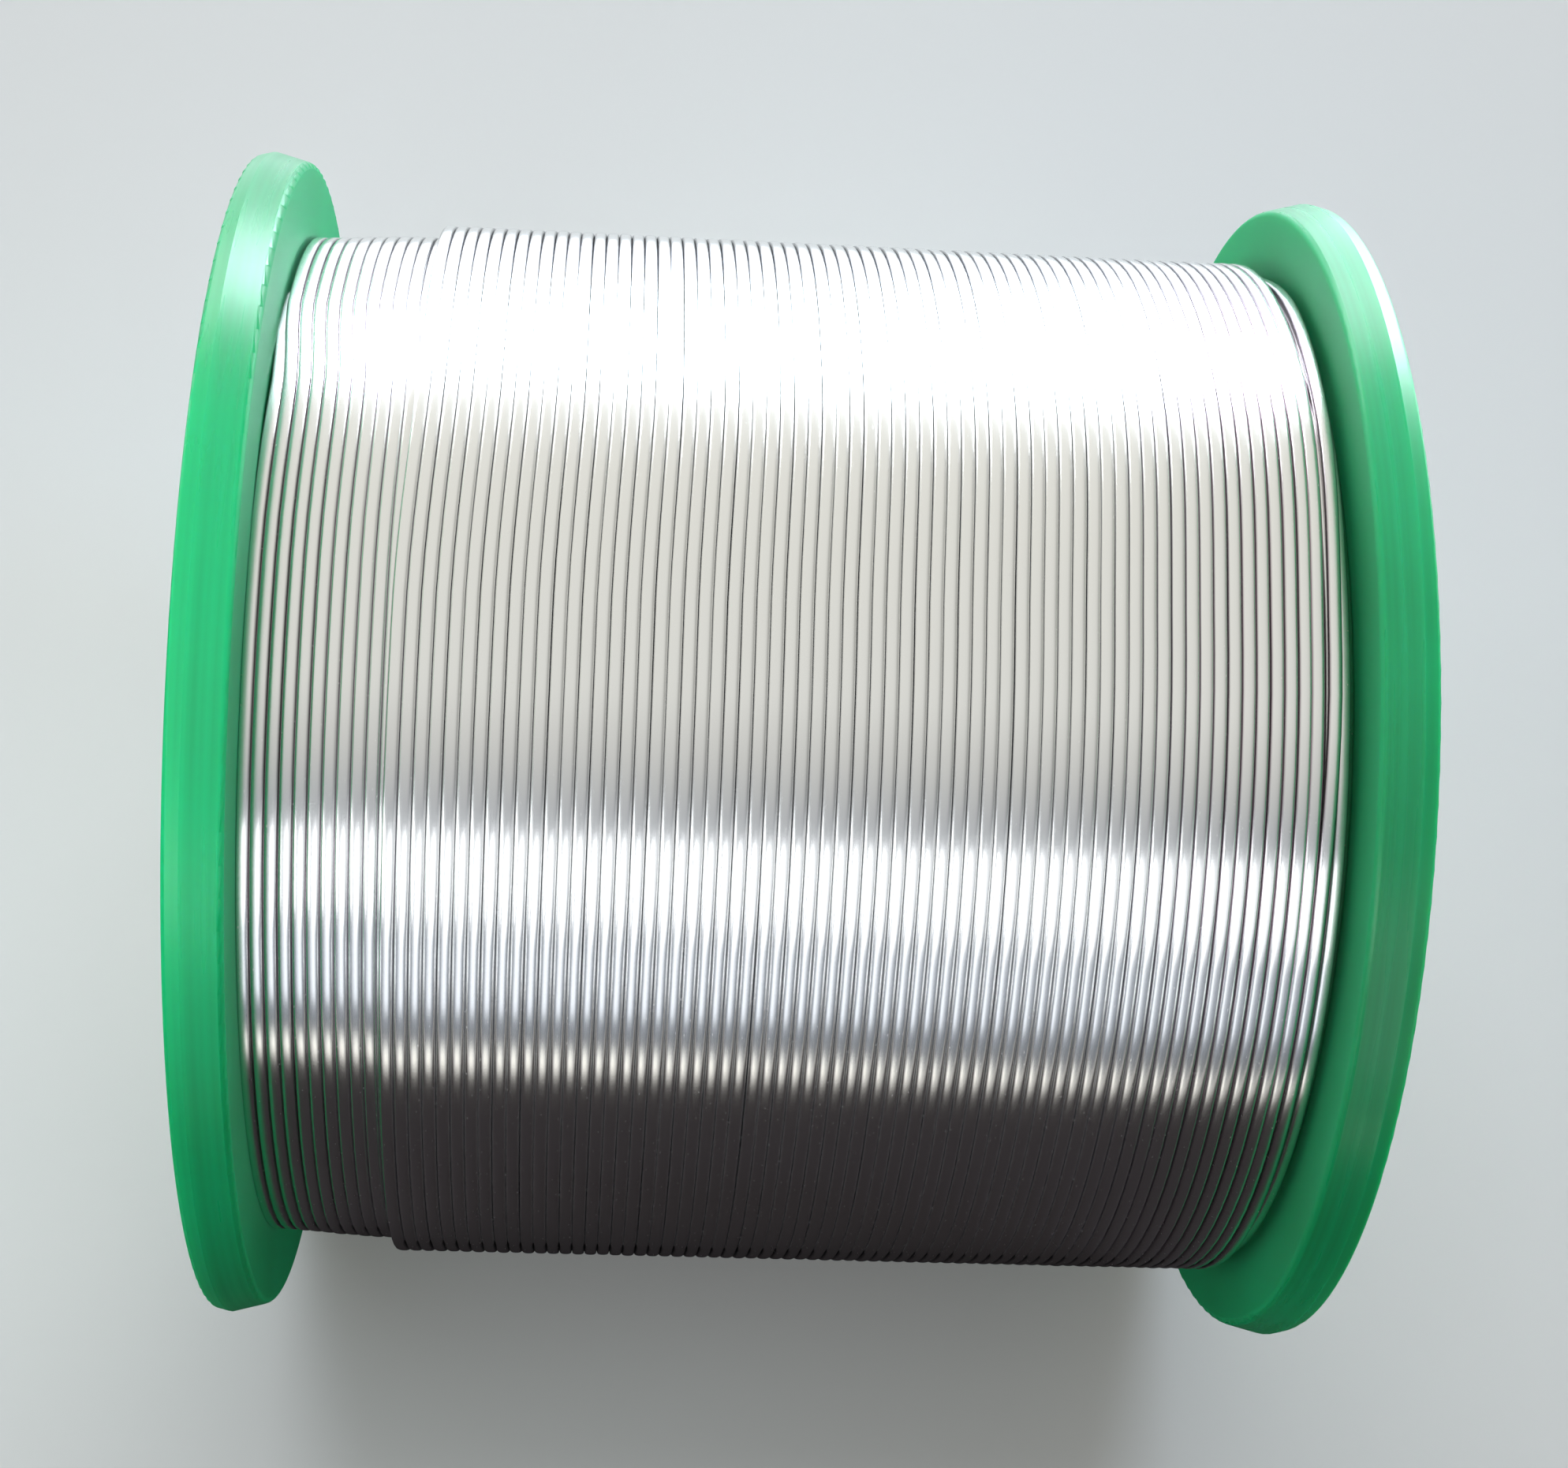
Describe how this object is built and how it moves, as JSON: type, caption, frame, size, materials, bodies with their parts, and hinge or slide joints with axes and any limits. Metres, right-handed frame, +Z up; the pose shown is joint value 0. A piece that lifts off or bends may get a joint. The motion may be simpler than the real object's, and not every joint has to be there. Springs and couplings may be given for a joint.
{
  "type": "solder wire spool",
  "caption": "Moulded spool with thick-rimmed flanges and a spindle bore, wound with solder wire; one layer stops short and leaves a step near a flange.",
  "frame": {"origin": "on the surface that the spool lies on, below the middle of its axis", "axes": "+X along the spool's axis from the flange beside the step of the winding to the other flange, +Z up"},
  "size_m": [0.069, 0.076, 0.076],
  "materials": {
    "flange_plastic": "moulded, satin gloss, slightly translucent green",
    "barrel_plastic": "moulded, satin gloss green",
    "solder_wire": "drawn tin alloy, bright satin",
    "label_paper": "coated white paper"
  },
  "bodies": {
    "root": {"left_flange": "flange_plastic", "right_flange": "flange_plastic", "barrel": "barrel_plastic", "wire_start": "solder_wire", "wire_inner_layers": "solder_wire", "wire_outer_turns": "solder_wire", "left_label": "label_paper", "right_label": "label_paper"}
  },
  "joints": []
}
